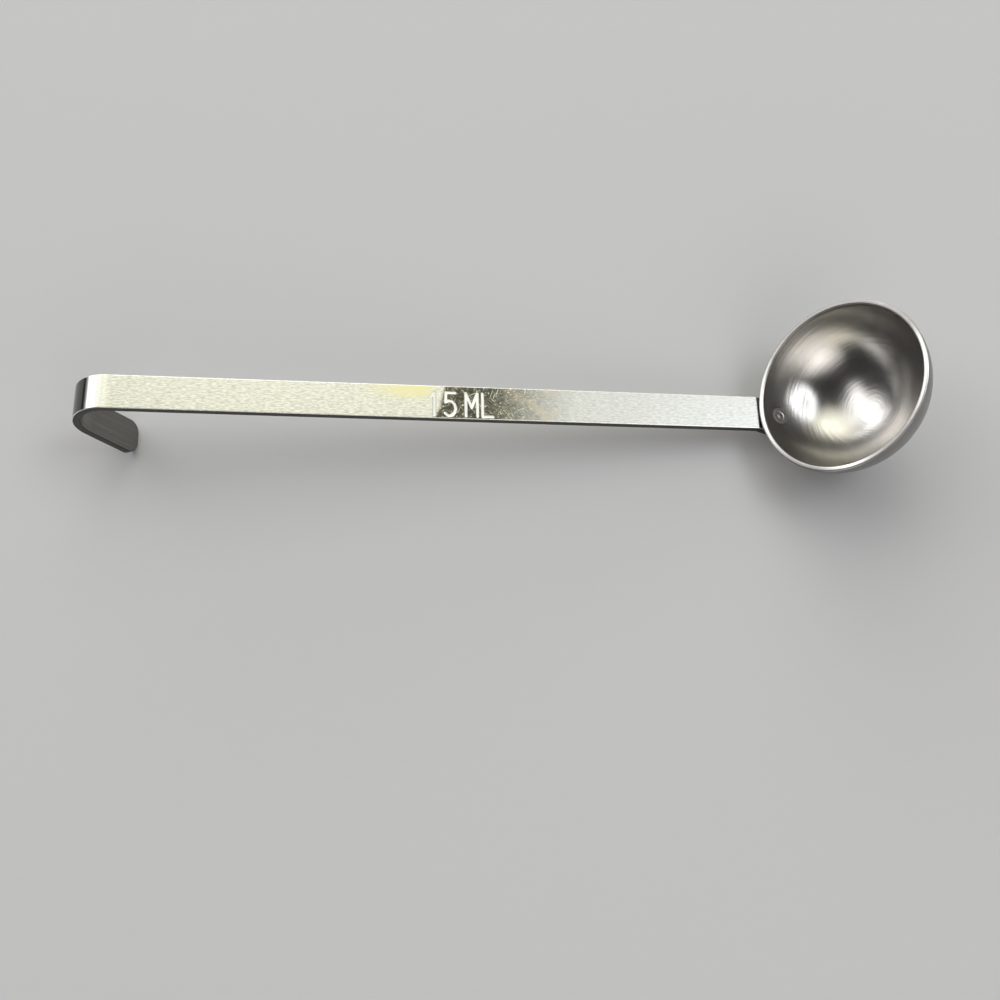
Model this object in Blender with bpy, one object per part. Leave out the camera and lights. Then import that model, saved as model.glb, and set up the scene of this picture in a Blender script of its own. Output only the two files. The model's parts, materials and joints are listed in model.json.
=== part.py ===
"""A small portion ladle: a pressed cup, a flat strip handle with a hook, and the spot weld that joins them.

The ladle is modelled about its cup: the centre of the cup's ball is the origin, +Z is the cup's axis and the
handle leaves towards -X. An empty then lays it down as it rests on a table, on the end of the handle's seat and
the end of its hook, with +X along the handle towards the cup and the origin under the middle of the whole.
Sizes are in metres.
"""

import math

import bmesh
import bpy
from mathutils import Matrix, Vector

# Cup: a little less than half of a ball, pressed from sheet
CUP_RADIUS = 0.0210
CUP_WALL = 0.0009
RIM_BELOW_CENTRE = 0.0020
RIM_EDGE_ROUND = 0.0003

# Handle: one flat strip, whose top face is the one that looks out of the cup's mouth
STRIP_WIDTH = 0.0083
STRIP_THICKNESS = 0.00185
STRIP_EDGE_ROUND = 0.00015
HANDLE_STRAIGHT = 0.1514
HANDLE_RISE = math.radians(47.5)

# Seat: the end of the strip, bent to lie along the outside of the cup
SEAT_GAP = 0.0003
SEAT_TOP_BELOW_RIM = 0.0011
SEAT_LENGTH = 0.0092
SEAT_CORNER_RADIUS = 0.0025
SEAT_BEND_RADIUS = 0.0025

# Hook: two bends that run into each other, then the tail. Radii are those of the outer face
HOOK_FIRST_RADIUS = 0.0072
HOOK_FIRST_TURN = math.radians(40.5)
HOOK_SECOND_RADIUS = 0.0097
HOOK_SECOND_TURN = math.radians(84.8)
HOOK_TAIL = 0.0150
HOOK_CORNER_RADIUS = 0.0029

# Spot weld: a button of metal through the cup's wall and into the strip
WELD_BELOW_RIM = 0.0063
WELD_RADIUS = 0.0015
WELD_DEPTH_IN_STRIP = 0.0009
WELD_NUB_RADIUS = 0.00045
WELD_NUB_HEIGHT = 0.00015
WELD_GAP = 0.0003

# Fineness of the round shapes
CUP_SEGMENTS = 64
CUP_ARC_STEPS = 16
ROUND_STEPS = 3
BEND_STEP = math.radians(5.0)
SEAT_STEP = math.radians(2.5)
CORNER_STEPS = 7
WELD_SEGMENTS = 24

BOWL_COLOUR = (0.62, 0.60, 0.56, 1.0)
HANDLE_COLOUR = (0.66, 0.65, 0.60, 1.0)
WELD_COLOUR = (0.50, 0.48, 0.44, 1.0)

# Angles on the cup, measured at the ball's centre from the cup's lowest point
RIM_ANGLE = math.acos(RIM_BELOW_CENTRE / CUP_RADIUS)
SEAT_RADIUS = CUP_RADIUS + SEAT_GAP
SEAT_TOP_ANGLE = RIM_ANGLE - SEAT_TOP_BELOW_RIM / CUP_RADIUS
SEAT_END_ANGLE = SEAT_TOP_ANGLE - SEAT_LENGTH / SEAT_RADIUS
WELD_ANGLE = RIM_ANGLE - WELD_BELOW_RIM / CUP_RADIUS


def clear_scene():
    """Removes every object of the scene that the script starts in."""
    for obj in list(bpy.data.objects):
        bpy.data.objects.remove(obj, do_unlink=True)


def steel(name, colour, roughness):
    """A metal material with one colour and roughness."""
    material = bpy.data.materials.new(name)
    material.use_nodes = True
    shader = material.node_tree.nodes["Principled BSDF"]
    shader.inputs["Base Color"].default_value = colour
    shader.inputs["Metallic"].default_value = 1.0
    shader.inputs["Roughness"].default_value = roughness
    return material


def object_from(bm, name, parent, material=None):
    """An object that holds the mesh, smooth except at its sharp edges."""
    bmesh.ops.recalc_face_normals(bm, faces=bm.faces)
    mesh = bpy.data.meshes.new(name)
    bm.to_mesh(mesh)
    bm.free()
    mesh.shade_smooth()
    mesh.set_sharp_from_angle(angle=math.radians(30.0))
    obj = bpy.data.objects.new(name, mesh)
    bpy.context.scene.collection.objects.link(obj)
    obj.parent = parent
    if material is not None:
        mesh.materials.append(material)
    return obj


def spun(profile, segments):
    """A mesh turned about Z from a closed outline of (radius, height) points that ends on the axis."""
    bm = bmesh.new()
    points = [bm.verts.new((radius, 0.0, height)) for radius, height in profile]
    edges = [bm.edges.new(pair) for pair in zip(points, points[1:])]
    bmesh.ops.spin(
        bm,
        geom=points + edges,
        cent=(0.0, 0.0, 0.0),
        axis=(0.0, 0.0, 1.0),
        angle=math.tau,
        steps=segments,
        use_merge=True,
    )
    bmesh.ops.remove_doubles(bm, verts=bm.verts, dist=1e-6)
    return bm


def arc_points(centre, radius, start, end, steps):
    """Points (across, up) on an arc, at angles measured from the downward direction."""
    points = []
    for step in range(steps + 1):
        angle = start + (end - start) * step / steps
        points.append((centre[0] + radius * math.sin(angle), centre[1] - radius * math.cos(angle)))
    return points


def cup_profile():
    """The cup's section: its outside up to the rim, over the rim's rounded edges, and its inside back down."""
    inner_radius = CUP_RADIUS - CUP_WALL
    rim_height = -RIM_BELOW_CENTRE
    edge = min(RIM_EDGE_ROUND, 0.45 * CUP_WALL)
    below_rim = RIM_BELOW_CENTRE + edge
    outer_top = math.acos(below_rim / CUP_RADIUS)
    inner_top = math.acos(below_rim / inner_radius)
    outside = arc_points((0.0, 0.0), CUP_RADIUS, 0.0, outer_top, CUP_ARC_STEPS)
    inside = arc_points((0.0, 0.0), inner_radius, inner_top, 0.0, CUP_ARC_STEPS)
    edge_height = rim_height - edge
    outer_edge = arc_points((outside[-1][0] - edge, edge_height), edge, 0.5 * math.pi, math.pi, ROUND_STEPS)
    inner_edge = arc_points((inside[0][0] + edge, edge_height), edge, math.pi, 1.5 * math.pi, ROUND_STEPS)
    return outside + outer_edge[1:] + inner_edge[:-1] + inside


class StripPath:
    """The strip's side view, walked along its top face: the top face lies to the right of the walk."""

    def __init__(self, point, heading):
        self.point = Vector(point)
        self.heading = heading
        self.length = 0.0
        self.stations = []
        self.mark()

    def direction(self):
        return Vector((math.cos(self.heading), math.sin(self.heading)))

    def mark(self):
        """Notes the place, the way into the strip's thickness, and the length walked so far."""
        forward = self.direction()
        self.stations.append((self.point.copy(), Vector((-forward.y, forward.x)), self.length))

    def straight(self, distance):
        self.point += self.direction() * distance
        self.length += distance
        self.mark()

    def bend(self, radius, turn, step):
        """Turns left by the angle, or right where it is negative, on a top face of the radius."""
        count = max(2, round(abs(turn) / step))
        side = math.copysign(1.0, turn)
        forward = self.direction()
        centre = self.point + Vector((-forward.y, forward.x)) * radius * side
        start = self.heading
        for index in range(1, count + 1):
            self.heading = start + turn * index / count
            forward = self.direction()
            self.point = centre + Vector((forward.y, -forward.x)) * radius * side
            self.length += abs(turn) / count * radius
            self.mark()

    def place(self, length):
        """The point of the top face, and the way into the thickness, at a length from the seat's end."""
        for before, after in zip(self.stations, self.stations[1:]):
            if length <= after[2]:
                break
        share = (length - before[2]) / (after[2] - before[2])
        return before[0].lerp(after[0], share), before[1].lerp(after[1], share).normalized()


def strip_path():
    """The whole strip from the end of its seat to the end of its hook."""
    start = Vector((-math.sin(SEAT_END_ANGLE), -math.cos(SEAT_END_ANGLE))) * SEAT_RADIUS
    path = StripPath(start, math.pi - SEAT_END_ANGLE)
    path.bend(SEAT_RADIUS, SEAT_END_ANGLE - SEAT_TOP_ANGLE, SEAT_STEP)
    path.bend(SEAT_BEND_RADIUS, SEAT_TOP_ANGLE - HANDLE_RISE, BEND_STEP)
    path.straight(HANDLE_STRAIGHT)
    path.bend(HOOK_FIRST_RADIUS, HOOK_FIRST_TURN, BEND_STEP)
    path.bend(HOOK_SECOND_RADIUS, HOOK_SECOND_TURN, BEND_STEP)
    path.straight(HOOK_TAIL)
    return path


def corner(along, across, radius, start):
    """Points round one corner of the blank, a quarter turn from a start angle about the corner's centre."""
    angles = [start + 0.5 * math.pi * step / CORNER_STEPS for step in range(CORNER_STEPS + 1)]
    return [(along + radius * math.cos(angle), across + radius * math.sin(angle)) for angle in angles]


def flat_blank(length):
    """The strip before it is bent: a plate with rounded corners and edges, its top face at height 0."""
    half = 0.5 * STRIP_WIDTH
    seat = min(SEAT_CORNER_RADIUS, 0.98 * half)
    hook = min(HOOK_CORNER_RADIUS, 0.98 * half)
    outline = corner(length - hook, half - hook, hook, 0.0)
    outline += corner(seat, half - seat, seat, 0.5 * math.pi)
    outline += corner(seat, seat - half, seat, math.pi)
    outline += corner(length - hook, hook - half, hook, 1.5 * math.pi)
    bm = bmesh.new()
    top = bm.faces.new([bm.verts.new((along, across, 0.0)) for along, across in outline])
    grown = bmesh.ops.extrude_face_region(bm, geom=[top], use_keep_orig=True)["geom"]
    under = [item for item in grown if isinstance(item, bmesh.types.BMVert)]
    bmesh.ops.translate(bm, verts=under, vec=(0.0, 0.0, -STRIP_THICKNESS))
    bmesh.ops.recalc_face_normals(bm, faces=bm.faces)
    rims = [edge for edge in bm.edges if abs(edge.verts[0].co.z - edge.verts[1].co.z) < 0.5 * STRIP_THICKNESS]
    bmesh.ops.bevel(
        bm,
        geom=rims,
        offset=min(STRIP_EDGE_ROUND, 0.45 * STRIP_THICKNESS),
        segments=ROUND_STEPS,
        profile=0.5,
        affect="EDGES",
    )
    return bm


def make_handle(parent, material):
    """The strip: a flat blank, scored across at each station of its path and bent along it."""
    path = strip_path()
    bm = flat_blank(path.length)
    for _, _, length in path.stations[1:-1]:
        whole = bm.verts[:] + bm.edges[:] + bm.faces[:]
        bmesh.ops.bisect_plane(bm, geom=whole, plane_co=(length, 0.0, 0.0), plane_no=(1.0, 0.0, 0.0), dist=1e-7)
    for vertex in bm.verts:
        point, inward = path.place(vertex.co.x)
        place = point - inward * vertex.co.z
        vertex.co = (place.x, vertex.co.y, place.y)
    return object_from(bm, "handle", parent, material)


def make_bowl(parent, material):
    """The cup, turned from its section."""
    return object_from(spun(cup_profile(), CUP_SEGMENTS), "bowl", parent, material)


def weld_pose():
    """Turns +Z to point from the weld's outer end to the ball's centre."""
    return Matrix.Rotation(WELD_ANGLE, 4, "Y")


def weld_profile():
    """The weld's section about its axis, heights measured from the ball's centre: a button with a small nub."""
    bottom = -(SEAT_RADIUS + WELD_DEPTH_IN_STRIP - WELD_GAP)
    top = -(CUP_RADIUS - CUP_WALL)
    edge = 0.2 * (top - bottom)
    nub = arc_points((0.0, top), WELD_NUB_RADIUS, 0.5 * math.pi, math.pi, ROUND_STEPS)
    squash = WELD_NUB_HEIGHT / WELD_NUB_RADIUS
    nub = [(across, top + (height - top) * squash) for across, height in nub]
    return [
        (0.0, bottom),
        (WELD_RADIUS - edge, bottom),
        (WELD_RADIUS, bottom + edge),
        (WELD_RADIUS, top - 0.25 * edge),
        (WELD_RADIUS - 0.25 * edge, top),
        *nub,
    ]


def make_weld(parent, material):
    """The spot weld's button."""
    weld = object_from(spun(weld_profile(), WELD_SEGMENTS), "spot_weld", parent, material)
    weld.matrix_local = weld_pose()
    return weld


def cut_weld_seat(target, parent, name, outer_end, inner_end):
    """Cuts a round hole about the weld's axis, between two distances from the ball's centre."""
    bm = bmesh.new()
    bmesh.ops.create_cone(
        bm,
        cap_ends=True,
        segments=2 * WELD_SEGMENTS,
        radius1=WELD_RADIUS + WELD_GAP,
        radius2=WELD_RADIUS + WELD_GAP,
        depth=outer_end - inner_end,
        matrix=Matrix.Translation((0.0, 0.0, -0.5 * (outer_end + inner_end))),
    )
    cutter = object_from(bm, name, parent)
    cutter.matrix_local = weld_pose()
    cutter.hide_render = True
    cutter.display_type = "WIRE"
    cut = target.modifiers.new(name, "BOOLEAN")
    cut.operation = "DIFFERENCE"
    cut.solver = "EXACT"
    cut.object = cutter


def evaluated_points(objects):
    """The finished corners of the objects, as their modifiers leave them, in world space."""
    bpy.context.view_layer.update()
    graph = bpy.context.evaluated_depsgraph_get()
    points = []
    for obj in objects:
        evaluated = obj.evaluated_get(graph)
        points += [obj.matrix_world @ vertex.co for vertex in evaluated.data.vertices]
    return points


def resting_tilt(points):
    """The turn about Y that brings the lowest points of the hook and of the cup's end to one height."""
    split = 0.5 * (min(point.x for point in points) + max(point.x for point in points))
    hook_end = [point for point in points if point.x < split]
    cup_end = [point for point in points if point.x >= split]

    def lowest(side, turn):
        return min(-math.sin(turn) * point.x + math.cos(turn) * point.z for point in side)

    low, high = -0.5 * math.pi, 0.0
    for _ in range(50):
        turn = 0.5 * (low + high)
        if lowest(hook_end, turn) > lowest(cup_end, turn):
            high = turn
        else:
            low = turn
    return turn


def lay_down(root, pieces):
    """Turns and moves the empty so that the ladle rests at height 0, over the origin."""
    root.rotation_euler = (0.0, resting_tilt(evaluated_points(pieces)), 0.0)
    points = evaluated_points(pieces)
    root.location = (
        -0.5 * (min(point.x for point in points) + max(point.x for point in points)),
        0.0,
        -min(point.z for point in points),
    )
    bpy.context.view_layer.update()


def main():
    clear_scene()
    root = bpy.data.objects.new("ladle_at_rest", None)
    bpy.context.scene.collection.objects.link(root)
    bowl = make_bowl(root, steel("bowl_steel", BOWL_COLOUR, 0.25))
    handle = make_handle(root, steel("handle_steel", HANDLE_COLOUR, 0.38))
    weld = make_weld(root, steel("weld_steel", WELD_COLOUR, 0.45))
    past_wall = 2.0 * CUP_WALL
    cut_weld_seat(bowl, root, "weld_hole_cutter", CUP_RADIUS + past_wall, CUP_RADIUS - CUP_WALL - past_wall)
    pit_end = SEAT_RADIUS + WELD_DEPTH_IN_STRIP
    cut_weld_seat(handle, root, "weld_pit_cutter", pit_end, SEAT_RADIUS - STRIP_THICKNESS)
    lay_down(root, [bowl, handle, weld])


main()
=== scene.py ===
"""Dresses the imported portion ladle: its polished cup, its brushed strip with a pressed mark, and its weld.

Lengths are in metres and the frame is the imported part's: +X runs along the handle towards the cup, +Z is up.
The pieces are drawn about the cup, as the solids are: the origin is the centre of the cup's ball, +Z is the
cup's axis and the handle leaves towards -X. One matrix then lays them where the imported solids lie.
"""

import json
import logging
import math
from collections.abc import Mapping, Sequence
from dataclasses import dataclass, field
from enum import Enum

import bmesh
import bpy
import numpy as np
from mathutils import Matrix, Vector


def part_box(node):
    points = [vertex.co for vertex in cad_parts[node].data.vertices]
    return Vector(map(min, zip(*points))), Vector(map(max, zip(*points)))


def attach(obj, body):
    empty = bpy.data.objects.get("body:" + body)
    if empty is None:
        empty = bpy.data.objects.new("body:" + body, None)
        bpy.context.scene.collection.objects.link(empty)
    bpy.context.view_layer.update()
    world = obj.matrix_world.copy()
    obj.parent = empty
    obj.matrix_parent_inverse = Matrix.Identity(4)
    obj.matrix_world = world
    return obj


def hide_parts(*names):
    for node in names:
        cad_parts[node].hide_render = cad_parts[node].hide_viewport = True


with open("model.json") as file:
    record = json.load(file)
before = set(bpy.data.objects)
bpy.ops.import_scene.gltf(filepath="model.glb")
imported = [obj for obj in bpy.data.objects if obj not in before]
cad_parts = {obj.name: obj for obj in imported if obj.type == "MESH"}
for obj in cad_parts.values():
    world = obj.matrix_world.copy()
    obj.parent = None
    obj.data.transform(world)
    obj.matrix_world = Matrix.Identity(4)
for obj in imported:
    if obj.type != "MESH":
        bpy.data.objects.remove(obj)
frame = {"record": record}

LOG = logging.getLogger("ladle")
BODY = "root"
MM = 0.001

# Points nearer to each other than this are one point, and a grid is joined to its surroundings within a seam.
SAME_POINT = 1e-7
SEAM = 1e-6
# The bevel tool's profile for a round edge.
ROUND_PROFILE = 0.5

Colour = tuple[float, float, float]
Triple = tuple[float, float, float]
Point = tuple[float, float]
Range = tuple[float, float]
Window = tuple[float, float, float, float]


class Signal:
    """A shader value, which Python's operators extend with Math nodes."""

    def __init__(self, graph: "Graph", socket: bpy.types.NodeSocket) -> None:
        """Wraps an output socket of the graph."""
        self.graph = graph
        self.socket = socket

    def __add__(self, other: "Value") -> "Signal":
        """The sum."""
        return self.graph.math("ADD", self, other)

    def __radd__(self, other: "Value") -> "Signal":
        """The sum, the other way round."""
        return self.graph.math("ADD", other, self)

    def __sub__(self, other: "Value") -> "Signal":
        """The difference."""
        return self.graph.math("SUBTRACT", self, other)

    def __rsub__(self, other: "Value") -> "Signal":
        """The difference, the other way round."""
        return self.graph.math("SUBTRACT", other, self)

    def __mul__(self, other: "Value") -> "Signal":
        """The product."""
        return self.graph.math("MULTIPLY", self, other)

    def __rmul__(self, other: "Value") -> "Signal":
        """The product, the other way round."""
        return self.graph.math("MULTIPLY", other, self)

    def swing(self, width: float) -> "Signal":
        """Makes of noise from 0 to 1 a value that swings about 0, as wide as asked."""
        return (self - 0.5) * width


Value = Signal | float | Sequence[float]


@dataclass(frozen=True)
class Grain:
    """Smooth noise: its cells in each unit of the three directions, and how fine its detail is."""

    cells: Triple
    detail: float = 2.0


class Graph:
    """The nodes of one material, added by expressions and named calls."""

    def __init__(self, tree: bpy.types.NodeTree) -> None:
        """Takes a material's default node tree."""
        self.tree = tree

    def add(
        self,
        kind: str,
        settings: Mapping[str, object] | None = None,
        inputs: Mapping[str | int, Value] | None = None,
        output: str | int = 0,
    ) -> Signal:
        """Adds any node.

        Args:
            kind: The node's type, such as ShaderNodeTexNoise.
            settings: The node's own properties, set before its sockets.
            inputs: Values or signals for its sockets, by name or number.
            output: The output socket to give back.

        Returns:
            The chosen output.
        """
        node = self.tree.nodes.new(kind)
        for name, value in (settings or {}).items():
            setattr(node, name, value)
        for name, value in (inputs or {}).items():
            self.feed(node.inputs[name], value)
        return Signal(self, node.outputs[output])

    def feed(self, socket: bpy.types.NodeSocket, value: Value) -> None:
        """Links a signal to a socket, or sets its number or colour.

        Args:
            socket: The input socket.
            value: What it takes.
        """
        if isinstance(value, Signal):
            self.tree.links.new(value.socket, socket)
        else:
            socket.default_value = value

    def math(self, operation: str, *values: Value) -> Signal:
        """Adds a Math node for one operation on its values."""
        return self.add("ShaderNodeMath", {"operation": operation}, dict(enumerate(values)))

    def attribute(self, name: str, output: str = "Vector") -> Signal:
        """Reads a vector, or with the output Fac a number, that the mesh carries."""
        return self.add("ShaderNodeAttribute", {"attribute_name": name}, output=output)

    def split(self, vector: Signal) -> tuple[Signal, Signal, Signal]:
        """Takes a vector apart.

        Args:
            vector: The vector.

        Returns:
            Its three numbers.
        """
        first = self.add("ShaderNodeSeparateXYZ", inputs={"Vector": vector})
        along, across, up = (Signal(self, socket) for socket in first.socket.node.outputs)
        return along, across, up

    def stretched(self, vector: Signal, factors: Triple) -> Signal:
        """Multiplies a vector's three numbers by factors of their own."""
        return self.add("ShaderNodeVectorMath", {"operation": "MULTIPLY"}, {0: vector, 1: factors})

    def turned(self, vector: Signal, angle: float) -> Signal:
        """Turns a vector about its third axis."""
        settings = {"rotation_type": "Z_AXIS"}
        return self.add("ShaderNodeVectorRotate", settings, {"Vector": vector, "Angle": angle})

    def noise(self, vector: Signal, grain: Grain) -> Signal:
        """Smooth noise from 0 to 1."""
        inputs = {"Vector": self.stretched(vector, grain.cells), "Scale": 1.0, "Detail": grain.detail}
        return self.add("ShaderNodeTexNoise", inputs=inputs, output="Fac")

    def step(self, value: Signal, limits: Range) -> Signal:
        """Rises smoothly from 0 at the first limit to 1 at the second."""
        inputs = {"Value": value, "From Min": limits[0], "From Max": limits[1]}
        return self.add("ShaderNodeMapRange", {"interpolation_type": "SMOOTHSTEP"}, inputs)

    def window(self, value: Signal, limits: Window) -> Signal:
        """Rises from 0 to 1 between the first two limits, and falls back to 0 between the last two."""
        return self.step(value, limits[:2]) * (1.0 - self.step(value, limits[2:]))

    def blend(self, first: Value, second: Value, factor: Value, mode: str = "MIX") -> Signal:
        """Mixes two colours."""
        settings = {"data_type": "RGBA", "blend_type": mode}
        return self.add("ShaderNodeMix", settings, {0: factor, 6: first, 7: second}, output=2)

    def bump(self, height: Signal) -> Signal:
        """Turns a height in metres into a normal."""
        return self.add("ShaderNodeBump", inputs={"Strength": 1.0, "Distance": 1.0, "Height": height})


def rgba(colour: Colour) -> tuple[float, float, float, float]:
    """The colour with full alpha."""
    return (*colour, 1.0)


def metal(name: str, anisotropy: float = 0.0) -> tuple[bpy.types.Material, Graph, Mapping]:
    """Starts a metal material.

    Args:
        name: The material's name.
        anisotropy: How far the grain stretches highlights, from 0 to 1.

    Returns:
        The material, its graph and the shader's inputs.
    """
    material = bpy.data.materials.new(name)
    material.use_nodes = True
    shader = material.node_tree.nodes["Principled BSDF"]
    shader.inputs["Metallic"].default_value = 1.0
    shader.inputs["Anisotropic"].default_value = anisotropy
    return material, Graph(material.node_tree), shader.inputs


@dataclass(frozen=True)
class StripSteel:
    """The strip's top: brushed lengthwise, tinted by heat, and rubbed smooth round the pressed mark; painted
    shade darkens that patch and the hook, and the mark has painted shade and painted highlight.

    Lengths run from the start of the straight, beside the cup, towards the hook. Widths run from the strip's
    middle to the side away from the camera.
    """

    name: str = "handle_brushed_steel"
    anisotropy: float = 0.6

    # The brushed ground. Its tone is greyer and its streaks are weaker near the cup.
    colour: Colour = (0.74, 0.745, 0.69)
    near_colour: Colour = (0.585, 0.59, 0.57)
    near: Range = (50.0 * MM, 74.0 * MM)
    near_streaks: float = 0.7
    streak_share: Colour = (0.63, 0.63, 0.60)
    fine: Grain = Grain((120.0, 7000.0, 7000.0))
    streaks: Grain = Grain((420.0, 3600.0, 3600.0), 3.0)
    streak_limits: Range = (0.40, 0.70)
    streak_weight: float = 0.40
    speckle: Grain = Grain((900.0, 3700.0, 3700.0))
    speckle_limits: Range = (0.40, 0.60)
    speckle_weight: float = 0.60
    cloud: Grain = Grain((210.0, 300.0, 300.0), 3.0)

    # The bend's sheen, and painted shade on the hook beyond it.
    bend: Range = (149.5 * MM, 153.0 * MM)
    painted_shade: Range = (154.9 * MM, 156.2 * MM)
    hook_painted_shade_colour: Colour = (0.11, 0.11, 0.107)

    # The heat tint beside the mark, on the far half of the strip.
    tint_colour: Colour = (0.69, 0.66, 0.40)
    tint: Window = (75.0 * MM, 80.0 * MM, 82.0 * MM, 96.0 * MM)
    tint_side: Range = (-0.6 * MM, 2.8 * MM)

    # The patch rubbed smooth round the mark, darkened by painted shade: it ends short at a slanting border,
    # and fades away towards the cup in a golden cloud.
    patch_painted_shade_colour: Colour = (0.055, 0.056, 0.040)
    border: float = 75.6 * MM
    border_slant: float = 0.30
    border_blur: float = 0.5 * MM
    border_raggedness: float = 2.0 * MM
    rub: Range = (41.0 * MM, 66.5 * MM)
    rub_raggedness: float = 8.0 * MM
    mottle: Grain = Grain((900.0, 1400.0, 1400.0), 3.0)
    patch_shade_least: float = 0.70
    patch_shade_mottle: float = 0.55
    gold_colour: Colour = (0.62, 0.55, 0.42)
    gold_limits: Range = (0.45, 0.60)
    gold_strength: float = 0.40

    # Bright specks in the patch, and scratches in it and in the stretch where it fades.
    speck_colour: Colour = (0.80, 0.79, 0.68)
    specks: Grain = Grain((1500.0, 2100.0, 2100.0))
    speck_limits: Range = (0.60, 0.70)
    speck_strength: float = 0.75
    scratch: Grain = Grain((260.0, 5200.0, 0.0), 1.0)
    scratch_angles: tuple[float, ...] = (0.45, -0.75, 1.25, 2.2)
    scratch_limits: Range = (0.66, 0.74)
    scratched: Window = (32.0 * MM, 42.0 * MM, 58.0 * MM, 70.0 * MM)
    scratched_strength: float = 0.8

    # The pressed mark, with painted shade on its grooves' walls and a painted highlight on their rough
    # bottoms. The limits are shares of its depth.
    wall_painted_shade_colour: Colour = (0.16, 0.16, 0.13)
    wall_limits: Range = (0.01, 0.06)
    wall_strength: float = 0.8
    groove_painted_highlight_colour: Colour = (0.93, 0.93, 0.87)
    groove_limits: Range = (0.14, 0.26)

    # Roughness, how wide it swings, and the depths of the bumps.
    roughness: float = 0.34
    rubbed_roughness: float = 0.22
    groove_roughness: float = 0.60
    bend_roughness: float = 0.16
    fine_swing: float = 0.10
    cloud_swing: float = 0.06
    fine_depth: float = 0.0010 * MM
    streak_depth: float = 0.0016 * MM
    scratch_depth: float = 0.0040 * MM

    def material(self) -> bpy.types.Material:
        """Builds the material.

        Returns:
            The material.
        """
        material, graph, shader = metal(self.name, self.anisotropy)
        flat = graph.attribute("flat")
        along, across, _ = graph.split(flat)
        fine = graph.noise(flat, self.fine)
        streaks = graph.noise(flat, self.streaks)
        cloud = graph.noise(flat, self.cloud)
        bent = graph.step(along, self.bend)
        patch = self.patch(graph, along, across, cloud)
        scratches = self.scratches(graph, flat) * graph.math("MAXIMUM", patch, self.beside(graph, along))
        base = self.ground(graph, flat, along, streaks, bent)
        base = graph.blend(base, rgba(self.tint_colour), self.tinted(graph, along, across))
        # Painted shade: the hook beyond the bend is darkened in its colour.
        base = graph.blend(base, rgba(self.hook_painted_shade_colour), graph.step(along, self.painted_shade))
        base = self.rubbed(graph, base, flat, patch, cloud)
        specks = graph.step(graph.noise(flat, self.specks), self.speck_limits) * patch
        bright = graph.math("MAXIMUM", specks, scratches) * self.speck_strength
        base = graph.blend(base, rgba(self.speck_colour), bright)
        depth = graph.attribute("pressed", "Fac")
        wall = graph.step(depth, self.wall_limits) * self.wall_strength
        # Painted shade on the grooves' walls.
        base = graph.blend(base, rgba(self.wall_painted_shade_colour), wall)
        groove = graph.step(depth, self.groove_limits)
        # Painted highlight in the grooves, over their rough finish.
        graph.feed(shader["Base Color"], graph.blend(base, rgba(self.groove_painted_highlight_colour), groove))
        roughness = self.roughness + fine.swing(self.fine_swing) + cloud.swing(self.cloud_swing)
        roughness = roughness - patch * (self.roughness - self.rubbed_roughness)
        roughness = roughness - bent * (self.roughness - self.bend_roughness)
        roughness = roughness + groove * (self.groove_roughness - self.rubbed_roughness)
        graph.feed(shader["Roughness"], roughness)
        height = fine * self.fine_depth + streaks * self.streak_depth - scratches * self.scratch_depth
        graph.feed(shader["Normal"], graph.bump(height))
        return material

    def ground(self, graph: Graph, flat: Signal, along: Signal, streaks: Signal, bent: Signal) -> Signal:
        """The brushed colour.

        Args:
            graph: The material's graph.
            flat: Places on the flat strip.
            along: The length along the strip.
            streaks: The noise of the brushing.
            bent: A number that is 1 from the bend on, which has no streaks.

        Returns:
            The colour.
        """
        speckle = graph.noise(flat, self.speckle)
        tone = graph.step(streaks, self.streak_limits) * self.streak_weight
        tone = tone + graph.step(speckle, self.speckle_limits) * self.speckle_weight
        away = graph.step(along, self.near)
        base = graph.blend(rgba(self.near_colour), rgba(self.colour), away)
        strength = away * (1.0 - self.near_streaks) + self.near_streaks
        return graph.blend(base, rgba(self.streak_share), tone * strength * (1.0 - bent), "MULTIPLY")

    def rubbed(self, graph: Graph, base: Signal, flat: Signal, patch: Signal, cloud: Signal) -> Signal:
        """Paints shade over the rubbed patch, mottled, and gilds it where it fades.

        Args:
            graph: The material's graph.
            base: The colour so far.
            flat: Places on the flat strip.
            patch: The patch, from 0 to 1.
            cloud: The noise that breaks up the gold.

        Returns:
            The colour.
        """
        mottle = graph.noise(flat, self.mottle)
        darkness = patch * (self.patch_shade_least + mottle * self.patch_shade_mottle)
        # Painted shade over the rubbed patch, mottled.
        base = graph.blend(base, rgba(self.patch_painted_shade_colour), darkness)
        halfway = patch * (1.0 - patch) * 4.0
        gold = halfway * graph.step(cloud, self.gold_limits) * self.gold_strength
        return graph.blend(base, rgba(self.gold_colour), gold)

    def patch(self, graph: Graph, along: Signal, across: Signal, cloud: Signal) -> Signal:
        """The patch, rubbed smooth and darkened by painted shade.

        Args:
            graph: The material's graph.
            along: The length along the strip.
            across: The width from the strip's middle.
            cloud: The noise that makes its ends ragged.

        Returns:
            A number that is 1 in the patch and 0 outside it.
        """
        slanted = along + across * self.border_slant + cloud.swing(self.border_raggedness)
        beyond = graph.step(slanted, (self.border - self.border_blur, self.border + self.border_blur))
        shifted = along + cloud.swing(self.rub_raggedness)
        return (1.0 - beyond) * graph.step(shifted, self.rub)

    def tinted(self, graph: Graph, along: Signal, across: Signal) -> Signal:
        """The heat tint, from 0 to 1."""
        return graph.window(along, self.tint) * graph.step(across, self.tint_side)

    def beside(self, graph: Graph, along: Signal) -> Signal:
        """The stretch where the rubbed patch fades, which is scratched too."""
        return graph.window(along, self.scratched) * self.scratched_strength

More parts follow.
